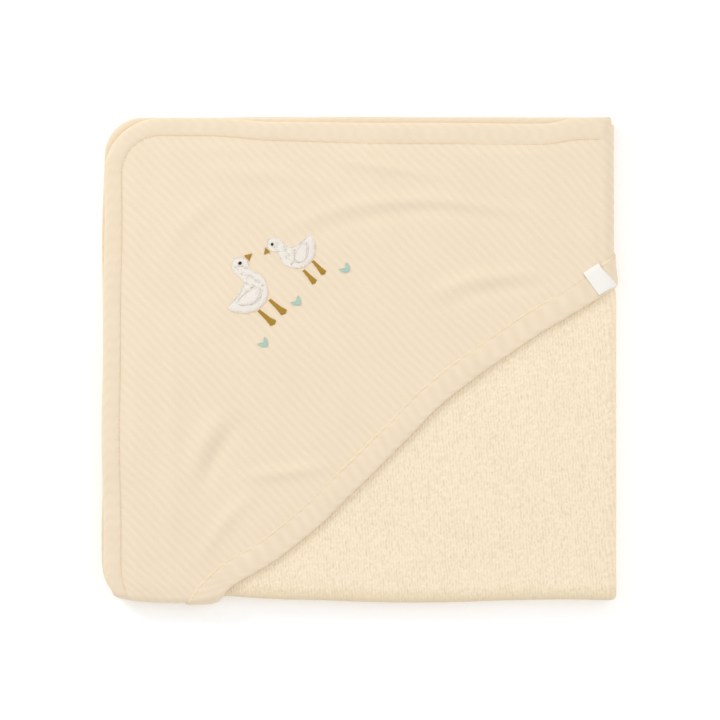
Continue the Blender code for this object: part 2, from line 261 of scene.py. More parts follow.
# Soft creases in the hood: a line on the plan, a half width and a height.
CREASES = (
    (((-0.060, 0.098), (-0.010, 0.116), (0.050, 0.121), (0.125, 0.112)), 0.0056, 0.0015),
    (((-0.052, 0.090), (0.000, 0.106), (0.060, 0.113), (0.120, 0.104)), 0.0054, -0.0009),
    (((-0.020, 0.152), (0.030, 0.145), (0.060, 0.138)), 0.0045, 0.0013),
    (((0.050, 0.048), (0.082, 0.060), (0.132, 0.066)), 0.0055, 0.0018),
    (((0.060, 0.038), (0.095, 0.051), (0.140, 0.056)), 0.0050, -0.0010),
    (((-0.128, -0.090), (-0.116, -0.062), (-0.102, -0.040)), 0.0085, 0.0024),
    (((-0.119, -0.098), (-0.104, -0.066), (-0.090, -0.048)), 0.0060, -0.0014),
    (((-0.086, -0.088), (-0.060, -0.085), (-0.024, -0.080)), 0.0050, 0.0018),
    (((-0.120, -0.150), (-0.100, -0.120), (-0.078, -0.100)), 0.0060, 0.0015),
    (((-0.143, -0.140), (-0.139, -0.060), (-0.141, 0.020)), 0.0075, 0.0010),
    (((-0.177, 0.119), (-0.168, 0.111), (-0.161, 0.102)), 0.0018, -0.0010),
    (((-0.118, 0.142), (-0.060, 0.140), (-0.030, 0.132)), 0.0065, 0.0010),
    (((0.150, 0.132), (0.172, 0.105), (0.186, 0.080)), 0.0070, 0.0010),
    (((-0.150, 0.075), (-0.130, 0.105), (-0.100, 0.122)), 0.0080, 0.0009),
)


def crease_relief(x, y):
    """The summed height of the creases at points of the plan."""
    x, y = np.broadcast_arrays(x, y)
    flat = np.stack((x, y), axis=-1).reshape(-1, 2)
    total = np.zeros(len(flat))
    for points, width, height in CREASES:
        path, _ = evenly(spline(points, 6), 0.004)
        best = np.full(len(flat), 1e9)
        share = np.zeros(len(flat))
        for i in range(len(path) - 1):
            a, d = path[i], path[i + 1] - path[i]
            k = np.clip(((flat - a) @ d) / (d @ d), 0.0, 1.0)
            gap = np.linalg.norm(flat - a - k[:, None] * d, axis=1)
            closer = gap < best
            best = np.where(closer, gap, best)
            share = np.where(closer, (i + k) / (len(path) - 1), share)
        taper = np.sin(math.pi * np.clip(0.06 + 0.88 * share, 0.0, 1.0))
        total += height * taper * np.exp(-((best / width) ** 2))
    return total.reshape(x.shape)


def hood_relief(x, y):
    """Soft creases and slow swells of the hood over the towel."""
    swell = 0.00045 * np.sin(31.0 * x - 17.0 * y + 0.6) * np.sin(23.0 * x + 29.0 * y)
    swell += 0.0003 * np.sin(61.0 * x + 43.0 * y + 1.1)
    edge = smooth((x - LEFT - TAPE_WIDTH + 0.001) / 0.012)
    edge *= smooth((BACK - TAPE_WIDTH - y + 0.001) / 0.012)
    edge *= smooth((SIDE_X + 0.003 - x) / 0.012) * smooth((y - FRONT_Y + 0.003) / 0.012)
    return (crease_relief(x, y) + swell + 0.0007) * edge


def ribs(x, y, angle, pitch):
    """Round ribs, about 1 high, that run square to angle on the flat plan."""
    across = x * math.cos(angle) + y * math.sin(angle)
    wander = 0.07 * np.sin(70.0 * x - 90.0 * y) + 0.05 * np.sin(160.0 * y + 1.0)
    uneven = 1.0 + 0.35 * np.sin(310.0 * x + 170.0 * y) * np.sin(260.0 * y - 130.0 * x + 0.5)
    return uneven * np.cos(2.0 * math.pi * (across / pitch + wander))


# ---------------------------------------------------------------- meshes


def new_piece(name, verts, faces, material, flat):
    """A smooth mesh object, with its flat plan kept as a UV map in metres."""
    mesh = bpy.data.meshes.new(name)
    mesh.from_pydata(np.asarray(verts).reshape(-1, 3).tolist(), [], faces)
    mesh.validate()
    mesh.shade_smooth()
    piece = bpy.data.objects.new(name, mesh)
    bpy.context.scene.collection.objects.link(piece)
    layer = mesh.uv_layers.new(name="plan")
    corners = np.zeros(len(mesh.loops), int)
    mesh.loops.foreach_get("vertex_index", corners)
    layer.data.foreach_set("uv", np.asarray(flat).reshape(-1, 2)[corners].ravel())
    mesh.materials.append(material)
    return piece


def store(piece, name, values):
    """Keeps one number for each vertex, for the material to read."""
    attribute = piece.data.attributes.new(name, "FLOAT", "POINT")
    attribute.data.foreach_set("value", np.asarray(values, np.float32).ravel())


def closed_cloth(name, top, bottom, flat, material):
    """A closed sheet from two grids of places, face side and back."""
    m, n = top.shape[:2]
    index = np.arange(m * n).reshape(m, n)
    quads = np.stack((index[:-1, :-1], index[1:, :-1], index[1:, 1:], index[:-1, 1:]), axis=-1)
    quads = quads.reshape(-1, 4)
    centre = top[m // 2, n // 2]
    normal = np.cross(top[m // 2 + 1, n // 2] - centre, top[m // 2, n // 2 + 1] - centre)
    turned = normal @ (centre - bottom[m // 2, n // 2]) < 0.0
    if turned:
        quads = quads[:, ::-1]
    rim = np.concatenate((index[0, :-1], index[:-1, -1], index[-1, :0:-1], index[:0:-1, 0]))
    rim_next = np.roll(rim, -1)
    size = m * n
    sides = np.stack((rim, rim_next, rim_next + size, rim + size), axis=-1)
    if turned:
        sides = sides[:, ::-1]
    faces = np.vstack((quads, quads[:, ::-1] + size, sides)).tolist()
    verts = np.concatenate((top.reshape(-1, 3), bottom.reshape(-1, 3)))
    plan = np.concatenate((flat.reshape(-1, 2), flat.reshape(-1, 2)))
    return new_piece(name, verts, faces, material, plan)


def lofted(name, rings, material, flat, closed=False):
    """A tube through rings of places, capped at its ends unless closed on itself."""
    m, n = rings.shape[:2]
    index = np.arange(m * n).reshape(m, n)
    following = np.roll(index, -1, axis=0) if closed else index[1:]
    here = index if closed else index[:-1]
    quads = np.stack(
        (here, np.roll(here, -1, axis=1), np.roll(following, -1, axis=1), following), axis=-1
    )
    faces = quads.reshape(-1, 4).tolist()
    if not closed:
        faces.append(index[0, ::-1].tolist())
        faces.append(index[-1].tolist())
    return new_piece(name, rings, faces, material, flat)


def outward(piece):
    """Turns a closed mesh's faces out."""
    mesh = piece.data
    mesh.calc_loop_triangles()
    co = np.zeros(len(mesh.vertices) * 3)
    mesh.vertices.foreach_get("co", co)
    co = co.reshape(-1, 3)
    corners = np.zeros(len(mesh.loop_triangles) * 3, int)
    mesh.loop_triangles.foreach_get("vertices", corners)
    a, b, c = (co[corners.reshape(-1, 3)[:, k]] for k in range(3))
    volume = np.einsum("ij,ij->i", a, np.cross(b, c)).sum()
    if volume < 0.0:
        mesh.flip_normals()
    return piece


# ---------------------------------------------------------------- materials


class Cloth:
    """A material with its node tree, built one node at a time."""

    def __init__(self, name, colour, roughness, sheen=0.0):
        self.material = bpy.data.materials.new(name)
        self.material.use_nodes = True
        self.tree = self.material.node_tree
        self.shader = self.tree.nodes["Principled BSDF"]
        self.shader.inputs["Base Color"].default_value = (*colour, 1.0)
        self.shader.inputs["Roughness"].default_value = roughness
        self.shader.inputs["Specular IOR Level"].default_value = 0.2
        if sheen:
            self.shader.inputs["Sheen Weight"].default_value = sheen
            self.shader.inputs["Sheen Roughness"].default_value = 0.5

    def node(self, kind, links=(), **settings):
        made = self.tree.nodes.new(kind)
        for key, value in settings.items():
            if hasattr(made, key):
                setattr(made, key, value)
            else:
                made.inputs[key.replace("_", " ")].default_value = value
        for socket, source in links:
            self.tree.links.new(source, made.inputs[socket])
        return made

    def plan(self, scale=(1.0, 1.0, 1.0), turn=0.0):
        """The flat plan's coordinates in metres, scaled and turned."""
        source = self.node("ShaderNodeUVMap", uv_map="plan")
        mapping = self.node("ShaderNodeMapping", [("Vector", source.outputs["UV"])])
        mapping.inputs["Scale"].default_value = scale
        mapping.inputs["Rotation"].default_value = (0.0, 0.0, turn)
        return mapping.outputs["Vector"]

    def noise(self, vector, scale, detail=3.0, roughness=0.6):
        return self.node(
            "ShaderNodeTexNoise",
            [("Vector", vector)],
            Scale=scale,
            Detail=detail,
            Roughness=roughness,
        ).outputs["Fac"]

    def math(self, operation, *values):
        made = self.node("ShaderNodeMath", operation=operation)
        for k, value in enumerate(values):
            if isinstance(value, (int, float)):
                made.inputs[k].default_value = value
            else:
                self.tree.links.new(value, made.inputs[k])
        return made.outputs[0]

    def ramp(self, value, dark, light, low=0.3, high=0.7):
        made = self.node("ShaderNodeValToRGB", [("Fac", value)])
        made.color_ramp.elements[0].position = low
        made.color_ramp.elements[0].color = (*dark, 1.0)
        made.color_ramp.elements[1].position = high
        made.color_ramp.elements[1].color = (*light, 1.0)
        return made.outputs["Color"]

    def colour(self, socket):
        self.tree.links.new(socket, self.shader.inputs["Base Color"])

    def bump(self, height, strength, distance):
        made = self.node(
            "ShaderNodeBump", [("Height", height)], Strength=strength, Distance=distance
        )
        self.tree.links.new(made.outputs["Normal"], self.shader.inputs["Normal"])


def shade(colour, share):
    """The colour, made lighter or darker, and warmer as it darkens."""
    return tuple(c * share**k for c, k in zip(colour, (0.8, 1.0, 1.35)))


CREAM = (0.852, 0.722, 0.545)
PILE = (0.935, 0.795, 0.592)


def ribbed_material(name, colour, contrast):
    """Fine ribbed knit: painted shade, darker and warmer, in the grooves between the ribs, with a
    small knit grain.
    """
    cloth = Cloth(name, colour, 0.92, sheen=0.06)
    groove = cloth.node("ShaderNodeAttribute", attribute_name="groove").outputs["Fac"]
    grain = cloth.noise(cloth.plan(), 900.0, 2.0)
    blotch = cloth.noise(cloth.plan(), 28.0, 2.0)
    patchy = cloth.math("MULTIPLY_ADD", cloth.noise(cloth.plan(), 80.0, 2.0), 2.4, -0.2)
    # Painted shade: the stored rib height darkens the colour in the grooves between the ribs.
    middle = cloth.math("MULTIPLY", cloth.math("SUBTRACT", groove, 0.5), patchy)
    mixed = cloth.math("ADD", cloth.math("MULTIPLY", middle, contrast), 0.29)
    mixed = cloth.math("ADD", mixed, cloth.math("MULTIPLY", grain, 0.35))
    mixed = cloth.math("ADD", mixed, cloth.math("MULTIPLY", blotch, 0.25))
    cloth.colour(cloth.ramp(mixed, shade(colour, 0.90), shade(colour, 1.035), 0.22, 0.85))
    weave = cloth.noise(cloth.plan(), 1500.0, 3.0)
    cloth.bump(weave, 0.35, 0.0004)
    return cloth.material


def terry_material():
    """Looped pile in columns, with painted shade between the loops and in a band along the front
    fold.
    """
    cloth = Cloth("terry_pile", PILE, 0.96, sheen=0.10)
    columns = cloth.noise(cloth.plan((1.0, 0.42, 1.0), TERRY_TURN), 560.0, 3.0, 0.65)
    loops = cloth.node(
        "ShaderNodeTexVoronoi",
        [("Vector", cloth.plan((1.0, 0.62, 1.0), TERRY_TURN))],
        Scale=620.0,
    ).outputs["Distance"]
    rows = cloth.node(
        "ShaderNodeTexWave",
        [("Vector", cloth.plan(turn=TERRY_TURN))],
        Scale=144.0,
        Distortion=4.0,
        Detail=2.0,
        Detail_Scale=0.6,
    ).outputs["Fac"]
    blotch = cloth.noise(cloth.plan(), 22.0, 3.0)
    columns = cloth.math("MULTIPLY_ADD", rows, 0.22, cloth.math("MULTIPLY", columns, 0.78))
    height = cloth.math("SUBTRACT", columns, cloth.math("MULTIPLY", loops, 0.5))
    # The colour follows the pile's height: random tone in the columns and rows, and painted shade
    # in the hollows between the loops.
    mixed = cloth.math("ADD", cloth.math("MULTIPLY", height, 0.8), 0.32)
    mixed = cloth.math("ADD", mixed, cloth.math("MULTIPLY", blotch, 0.22))
    # Painted shade along the front fold: the colour darkens in a band 11 mm either side of the
    # fold line, where the pile rolls over.
    across = cloth.node("ShaderNodeSeparateXYZ", [("Vector", cloth.plan())]).outputs["Y"]
    band = 0.011
    from_fold = cloth.math("MULTIPLY", cloth.math("ABSOLUTE", across), 1.0 / band)
    fold_shade = cloth.math("SUBTRACT", 1.0, cloth.math("MINIMUM", from_fold, 1.0))
    mixed = cloth.math("SUBTRACT", mixed, cloth.math("MULTIPLY", fold_shade, 0.48))
    cloth.colour(cloth.ramp(mixed, shade(PILE, 0.85), shade(PILE, 1.03), 0.28, 0.76))
    cloth.bump(height, 0.75, 0.0011)
    return cloth.material


def thread_material(name, colour, sheen):
    """Twisted embroidery thread, a little uneven along its length."""
    cloth = Cloth(name, colour, 0.55, sheen=sheen)
    twist = cloth.noise(cloth.plan((1.0, 4.0, 1.0)), 700.0, 2.0)
    cloth.colour(cloth.ramp(twist, shade(colour, 0.86), shade(colour, 1.06), 0.3, 0.7))
    cloth.bump(twist, 0.3, 0.0002)
    return cloth.material


def label_material():
    """Smooth white woven tape."""
    white = (0.90, 0.87, 0.825)
    cloth = Cloth("label_weave", white, 0.75, sheen=0.05)
    warp = cloth.node(
        "ShaderNodeTexWave", [("Vector", cloth.plan())], Scale=420.0, Distortion=1.5
    ).outputs["Fac"]
    cloth.colour(cloth.ramp(warp, shade(white, 0.965), white, 0.2, 0.8))
    cloth.bump(warp, 0.2, 0.0002)
    return cloth.material


TERRY = terry_material()
RIBBED = ribbed_material("hood_rib", CREAM, 0.19)
TAPE = ribbed_material("tape_rib", shade(CREAM, 0.995), 0.14)
MOUTH = ribbed_material("mouth_rib", shade(CREAM, 0.99), 0.24)
SEAM_THREAD = thread_material("seam_thread", (0.90, 0.68, 0.45), 0.0)
WHITE_THREAD = thread_material("white_thread", (0.92, 0.875, 0.815), 0.10)
OCHRE_THREAD = thread_material("ochre_thread", (0.48, 0.285, 0.035), 0.05)
BROWN_THREAD = thread_material("brown_thread", (0.05, 0.022, 0.02), 0.0)
SAGE_THREAD = thread_material("sage_thread", (0.52, 0.68, 0.60), 0.05)
LABEL = label_material()


# ---------------------------------------------------------------- the terry sheet


def rounded_reach(distance, radius):
    """How far a rounded corner pulls an edge in, at a distance from the corner's end."""
    missing = np.clip(radius - distance, 0.0, radius)
    return radius - np.sqrt(np.maximum(radius**2 - missing**2, 0.0))


def terry_sheet():
    """The whole towel as one folded sheet of pile."""
    inset = 0.0016
    step = 0.0044
    bend = np.linspace(-1.0, 1.0, 14)[1:-1] * SIDE_BEND
    flat_part = np.linspace(SIDE_BEND, S_END - inset, int((S_END - SIDE_BEND) / step))
    s_line = np.concatenate((-flat_part[::-1], bend, flat_part))
    bend = np.linspace(-1.0, 1.0, 11)[1:-1] * FRONT_BEND
    flat_part = np.linspace(FRONT_BEND, T_END - inset, int((T_END - FRONT_BEND) / step))
    t_line = np.concatenate((-flat_part[::-1], bend, flat_part))
    t = np.broadcast_to(t_line[None, :], (len(s_line), len(t_line)))
    radius = np.where((s_line[:, None] < 0) & (t > 0), HOOD_RADIUS, CORNER_RADIUS)
    pulled = rounded_reach(T_END - np.abs(t), radius)
    unit = s_line[:, None] / (S_END - inset)
    near_edge = np.abs(unit) ** 3
    s = s_line[:, None] - np.sign(unit) * near_edge * pulled
    to_edge = np.minimum(S_END - np.abs(s) - pulled * (1.0 - near_edge), T_END - np.abs(t))
    puff = smooth((to_edge - TAPE_WIDTH + 0.0015) / 0.006)
    half = EDGE_HALF + (HALF - EDGE_HALF) * puff
    wobble = np.sin(210.0 * s + 3.0 * np.sin(90.0 * t))
    wobble *= np.sin(190.0 * t + 2.0 * np.sin(110.0 * s))
    slow = np.sin(37.0 * s + 21.0 * t) * np.sin(29.0 * t - 15.0 * s + 0.8)
    upper = smooth(-s / 0.02) * smooth(t / 0.02)
    face = half + puff * (0.00007 * wobble - 0.0001) + upper * puff * 0.00035 * slow
    top = fold(s, t, face)
    bottom = fold(s, t, -half + 0.00012 * puff)
    piece = closed_cloth("terry_towel", top, bottom, np.stack((s, t), axis=-1), TERRY)
    return outward(piece)


# ---------------------------------------------------------------- the tape round the edge


def edge_path(spacing):
    """The towel's cut edge on the unfolded sheet, from the hood's front left corner, clockwise."""
    corners = (
        (-S_END, T_END, HOOD_RADIUS, math.pi, 0.5 * math.pi),
        (S_END, T_END, CORNER_RADIUS, 0.5 * math.pi, 0.0),
        (S_END, -T_END, CORNER_RADIUS, 0.0, -0.5 * math.pi),
        (-S_END, -T_END, CORNER_RADIUS, -0.5 * math.pi, -math.pi),
    )
    points = [np.array((-S_END, 0.0))]
    for s, t, radius, start, stop in corners:
        centre = np.array((s - np.sign(s) * radius, t - np.sign(t) * radius))
        for turn in np.linspace(start, stop, 16):
            points.append(centre + radius * np.array((math.cos(turn), math.sin(turn))))
    return evenly(np.array(points), spacing, closed=True)


def hood_share(s, t):
    """1 where the hood lies under the tape, fading to 0 round both folds."""
    past_side = smooth((-0.05 - s / SIDE_BEND) / 0.9)
    return past_side * smooth((t + FRONT_BEND) / (2.0 * FRONT_BEND))


def off_the_fold(s):
    """Places along the towel, kept just to one side of the middle of the fold on the right."""
    return np.where(np.abs(s) < 0.0003, np.where(s < 0.0, -0.0003, 0.0003), s)


def tape_widths(path):
    """The tape's width: it is wider along the hood's back edge."""
    s, t = path[:, 0], path[:, 1]
    along_back = smooth((s + 0.9 * S_END) / (0.5 * S_END)) * smooth((0.012 - s) / 0.02)
    return TAPE_WIDTH + BACK_TAPE_EXTRA * along_back * (t > 0.5 * T_END)


def tape_profile(count, soft):
    """A flat pad's section: across from 0 to 1, and height from -1 to 1, walked once round."""
    turn = np.linspace(0.0, 2.0 * math.pi, count, endpoint=False)
    across = 0.5 - 0.5 * np.sign(np.cos(turn)) * np.abs(np.cos(turn)) ** 0.5
    height = np.sign(np.sin(turn)) * np.abs(np.sin(turn)) ** soft
    return across, height


def perimeter_tape():
    """One tape round the whole towel, folded over its cut edge."""
    path, at = edge_path(0.00105)
    inward = rightward(path, closed=True)
    path[:, 0] = off_the_fold(path[:, 0])
    across, height = tape_profile(26, 0.45)
    widths = tape_widths(path)
    n = across[None, :] * widths[:, None]
    s = path[:, :1] + inward[:, :1] * n
    t = path[:, 1:] + inward[:, 1:] * n
    share = hood_share(path[:, 0], path[:, 1])[:, None]
    top = HALF - 0.0001 + share * TAPE_ON_HOOD
    bottom = HALF - 0.0001
    middle = 0.5 * (top - bottom)
    # It is rounded across, and flatter towards its seam.
    crown = 1.0 - 0.10 * (2.0 * across[None, :] - 1.0) ** 2
    crown -= 0.14 * smooth((across[None, :] - 0.55) / 0.45)
    h = middle + np.where(height > 0, top - middle, bottom + middle) * height[None, :] * crown
    along_back, along_side = (ribs(s, t, angle, RIB_PITCH) for angle in TAPE_RIB_ANGLES)
    rib = np.where(np.abs(inward[:, 1:]) > 0.7, along_back, along_side)
    pucker = np.sin(at * 520.0 + 2.0 * np.sin(at * 71.0)) * np.sin(at * 137.0)
    body = np.sin(math.pi * across)[None, :]
    face = (height > 0.0)[None, :] * share
    h = h + face * body * (TAPE_RIB_DEPTH * rib + 0.00008 * pucker[:, None])
    lump = 0.00030 * np.sin(at * 97.0) * np.sin(at * 41.0 + 1.0)
    h = h + face * lump[:, None] * body
    rings = fold(s, t, h)
    piece = lofted("edge_tape", rings, TAPE, np.stack((s, t), axis=-1), closed=True)
    store(piece, "groove", 0.5 + 0.5 * rib)
    return outward(piece)


# ---------------------------------------------------------------- the hood


def mouth_curve(spacing=0.003):
    """The mouth's free edge on the flat plan, from the right to the front."""
    points = [(RIGHT * u, BACK * v) for u, v in MOUTH_POINTS]
    path, at = evenly(spline(points, 12), spacing)
    bumpy = 0.00035 * np.sin(at * 66.0 + 0.5) + 0.0002 * np.sin(at * 131.0)
    return path + rightward(path) * bumpy[:, None], at


def across_mouth(path):
    """Directions across the mouth tape: square to its edge, but along the folds at its ends."""
    inward = rightward(path)
    along = np.stack((-inward[:, 1], inward[:, 0]), axis=1)
    from_right = np.linalg.norm(path - path[0], axis=1)
    from_front = np.linalg.norm(path - path[-1], axis=1)
    slant = -inward[:, 0] / along[:, 0] * smooth(1.0 - from_right / 0.040)
    slant -= inward[:, 1] / along[:, 1] * smooth(1.0 - from_front / 0.050)
    return inward + along * slant[:, None]


def mouth_strip(spacing):
    """The mouth's free edge between the folds, and the directions across its tape."""
    path, at = mouth_curve(spacing)
    keep = (path[:, 0] < HOOD_END) & (path[:, 1] > HOOD_TUCK)
    return path[keep], across_mouth(path[keep]), at[keep]


def hood_boundary():
    """The hood's outline on the flat plan, held in under the tapes and round the folds."""
    under = 0.006
    radius = HOOD_RADIUS - under
    x, y = LEFT + under, BACK - under
    points = [(x, HOOD_TUCK)]
    for turn in np.linspace(math.pi, 0.5 * math.pi, 16):
        points.append((x + radius + radius * math.cos(turn), y - radius + radius * math.sin(turn)))
    points.append((HOOD_END, y))
    mouth, _ = mouth_curve()
    inner = mouth + rightward(mouth) * 0.008
    inner = inner[(inner[:, 0] < HOOD_END) & (inner[:, 1] > HOOD_TUCK)]
    points.append((HOOD_END, inner[0, 1]))
    points.extend(map(tuple, inner))
    points.append((inner[-1, 0], HOOD_TUCK))
    return np.array(points)


def hood_panel():
    """The ribbed panel, in strips that run along its ribs."""
    outline = hood_boundary()
    across = np.array((math.cos(RIB_ANGLE), math.sin(RIB_ANGLE)))
    along = np.array((math.sin(RIB_ANGLE), -math.cos(RIB_ANGLE)))
    q = outline @ across
    p = outline @ along
    levels = np.arange(q.min() + 0.0012, q.max() - 0.0012, RIB_PITCH / 5.0)
    following_q, following_p = np.roll(q, -1), np.roll(p, -1)
    starts, stops = [], []
    for level in levels:
        crosses = (q - level) * (following_q - level) < 0.0
        share = (level - q[crosses]) / (following_q[crosses] - q[crosses])
        hits = p[crosses] + share * (following_p[crosses] - p[crosses])
        starts.append(hits.min())
        stops.append(hits.max())
    share = np.linspace(0.0, 1.0, HOOD_COLUMNS)[None, :]
    p = np.array(starts)[:, None] * (1.0 - share) + np.array(stops)[:, None] * share
    q = np.broadcast_to(levels[:, None], p.shape)
    x = q * across[0] + p * along[0]
    y = q * across[1] + p * along[1]
    rib = ribs(x, y, RIB_ANGLE, RIB_PITCH)
    relief = hood_relief(x, y)
    sides = smooth((x - LEFT - TAPE_WIDTH) / 0.006) * smooth((BACK - TAPE_WIDTH - y) / 0.006)
    h = HOOD_UNDER + HOOD_CLOTH + relief + RIB_DEPTH * rib * sides
    top = on_top(x, y, h)
    bottom = on_top(x, y, HOOD_UNDER + np.maximum(relief, 0.0) * 0.6)
    piece = closed_cloth("hood", top, bottom, np.stack((x, y), axis=-1), RIBBED)
    groove = 0.5 + 0.5 * rib
    store(piece, "groove", np.concatenate((groove.ravel(), groove.ravel())))
    return outward(piece)


def hood_top(x, y):
    """The height off the cloth's middle of the hood's upper face."""
    return HOOD_UNDER + HOOD_CLOTH + hood_relief(np.asarray(x), np.asarray(y))


def mouth_tape():
    """The folded tape on the hood's free edge."""
    path, inward, at = mouth_strip(0.0011)
    across, height = tape_profile(20, 0.5)
    n = across[None, :] * MOUTH_WIDTH
    x = path[:, :1] + inward[:, :1] * n
    y = path[:, 1:] + inward[:, 1:] * n
    rib = ribs(x, y, MOUTH_RIB_ANGLE, RIB_PITCH * 0.92)
    body = np.sin(math.pi * across)[None, :]
    lump = 0.00025 * np.sin(at * 83.0 + 1.0) + 0.00015 * np.sin(at * 171.0)
    thick = MOUTH_THICKNESS + lump[:, None] * body
    crown = 0.80 + 0.20 * np.sqrt(np.clip(1.0 - (1.7 * across[None, :] - 0.65) ** 2, 0.0, 1.0))
    h = HOOD_UNDER + thick * (0.5 + 0.5 * height[None, :]) * crown
    face = (height > 0.0)[None, :]
    h = h + face * body * TAPE_RIB_DEPTH * rib
    rings = on_top(x, y, h)
    piece = lofted("mouth_tape", rings, MOUTH, np.stack((x, y), axis=-1))
    store(piece, "groove", 0.5 + 0.5 * rib)
    return outward(piece)


# ---------------------------------------------------------------- stitches and threads


def capsule(a, b, up, radius, sides=6):
    """The rings of a short thread from a to b, pinched at both ends."""
    along = b - a
    side = np.cross(up, along)
    side /= np.linalg.norm(side)
    lift = np.cross(along, side)
    lift /= np.linalg.norm(lift)
    turns = np.linspace(0.0, 2.0 * math.pi, sides, endpoint=False)
    circle = np.cos(turns)[:, None] * side + np.sin(turns)[:, None] * lift
    rings = []
    for share, width in ((0.0, 0.35), (0.12, 0.9), (0.5, 1.0), (0.88, 0.9), (1.0, 0.35)):
        rise = up * (math.sin(math.pi * share) * radius * 0.8)
        rings.append(a + along * share + rise + circle * radius * width)
    return np.array(rings)


def threads(name, runs, radius, material):
    """One mesh of many short threads, each from a run of two places and an up direction."""
    verts, faces, plan = [], [], []
    for number, (a, b, up) in enumerate(runs):
        rings = capsule(a, b, up, radius)
        m, n = rings.shape[:2]
        base = len(verts)
        verts.extend(rings.reshape(-1, 3))
        length = np.linalg.norm(b - a)
        for i in range(m):
            plan.extend([(number * 0.0013, length * i / (m - 1))] * n)
        for i in range(m - 1):
            for k in range(n):
                j = (k + 1) % n
                here, there = base + i * n, base + (i + 1) * n
                faces.append((here + k, here + j, there + j, there + k))
        faces.append(tuple(base + k for k in range(n - 1, -1, -1)))
        faces.append(tuple(base + (m - 1) * n + k for k in range(n)))
    return outward(new_piece(name, np.array(verts), faces, material, np.array(plan)))


def seam_runs(place, path, height, sink):
    """Stitches along a flat path, each set into the cloth by sink."""
    points, _ = evenly(path, STITCH_PITCH)
    runs = []
    for i in range(len(points) - 1):
        a = points[i]
        b = a + (points[i + 1] - a) * STITCH_SHARE
        pair = np.array((a, b))
        crosses_fold = place is fold and a[0] * b[0] <= 0.0
        if crosses_fold:
            continue
        h = height(pair) - sink
        ends = place(pair[:, 0], pair[:, 1], h)
        above = place(pair[:, 0], pair[:, 1], h + 0.001)
        up = (above - ends).mean(axis=0)
        runs.append((ends[0], ends[1], up / np.linalg.norm(up)))
    return runs


def edge_stitches():
    """The seam along the inner side of the perimeter tape."""
    path, _ = edge_path(0.002)
    inward = rightward(path, closed=True)
    widths = tape_widths(path)
    seam = path + inward * (widths - 0.0016)[:, None]
    seam = np.vstack((seam, seam[:1]))

    def height(pair):
        return HALF - 0.0003 + 0.00225 * hood_share(pair[:, 0], pair[:, 1])

    runs = seam_runs(fold, seam, height, 0.00022)
    return threads("edge_stitches", runs, STITCH_RADIUS, SEAM_THREAD)


def mouth_stitches():
    """The seam along the inner side of the mouth tape."""
    path, inward, _ = mouth_strip(0.002)
    seam = path + inward * (MOUTH_WIDTH - 0.0017)

    def height(pair):
        return np.full(len(pair), HOOD_UNDER + MOUTH_SEAM_HEIGHT)

    runs = seam_runs(on_top, seam, height, 0.0002)
    return threads("mouth_stitches", runs, STITCH_RADIUS, SEAM_THREAD)


def cad_outline(node):
    """The plan outline of a flat CAD patch, in order."""
    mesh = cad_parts[node].data
    top = max(v.co.z for v in mesh.vertices)
    places = {}
    spot = []
    for v in mesh.vertices:
        key = (round(v.co.x, 6), round(v.co.y, 6))
        spot.append(places.setdefault(key, len(places)))
    edges = set()
    for face in mesh.polygons:
        if all(mesh.vertices[i].co.z > top - 1e-5 for i in face.vertices):
            ring = [spot[i] for i in face.vertices]
            for a, b in zip(ring, ring[1:] + ring[:1]):
                if (b, a) in edges:
                    edges.remove((b, a))
                else:
                    edges.add((a, b))
    following = dict(edges)
    order = [min(following)]
    while following[order[-1]] != order[0]:
        order.append(following[order[-1]])
    return np.array(list(places))[order]


def laid_thread(pair, lift):
    """A thread between two places of the plan, at a height over the hood."""
    h = hood_top(pair[:, 0], pair[:, 1]) + lift
    place = on_top(pair[:, 0], pair[:, 1], h)
    return place[0], place[1], np.array((0.0, 0.0, 1.0))


def satin(node, angle, lift, ragged=0.0):
    """Satin stitch: rows of thread laid side by side across a patch's outline."""
    outline = cad_outline(node)
    rng = np.random.default_rng(len(node) + int(1000 * abs(angle)))
    across = np.array((math.cos(angle), math.sin(angle)))
    along = np.array((-math.sin(angle), math.cos(angle)))
    q, p = outline @ across, outline @ along
    next_q, next_p = np.roll(q, -1), np.roll(p, -1)
    runs = []
    for level in np.arange(q.min() + 0.3 * THREAD_PITCH, q.max(), THREAD_PITCH):
        crosses = (q - level) * (next_q - level) < 0.0
        share = (level - q[crosses]) / (next_q[crosses] - q[crosses])
        hits = np.sort(p[crosses] + share * (next_p[crosses] - p[crosses]))
        for low, high in zip(hits[::2], hits[1::2]):
            low -= ragged * rng.random()
            high += ragged * rng.random()
            pieces = max(1, int((high - low) / 0.007))
            cuts = np.linspace(low, high, pieces + 1)
            cuts[1:-1] += (rng.random(max(pieces - 1, 0)) - 0.5) * 0.003
            for start, stop in zip(cuts, cuts[1:]):
                pair = np.array([across * level + along * k for k in (start, stop)])
                runs.append(laid_thread(pair, lift))
    return runs


def outline_runs(node, lift):
    """A line of stitches round a patch."""
    outline = cad_outline(node)
    path, _ = evenly(np.vstack((outline, outline[:1])), 0.0022)
    return [laid_thread(path[i : i + 2], lift) for i in range(len(path) - 1)]


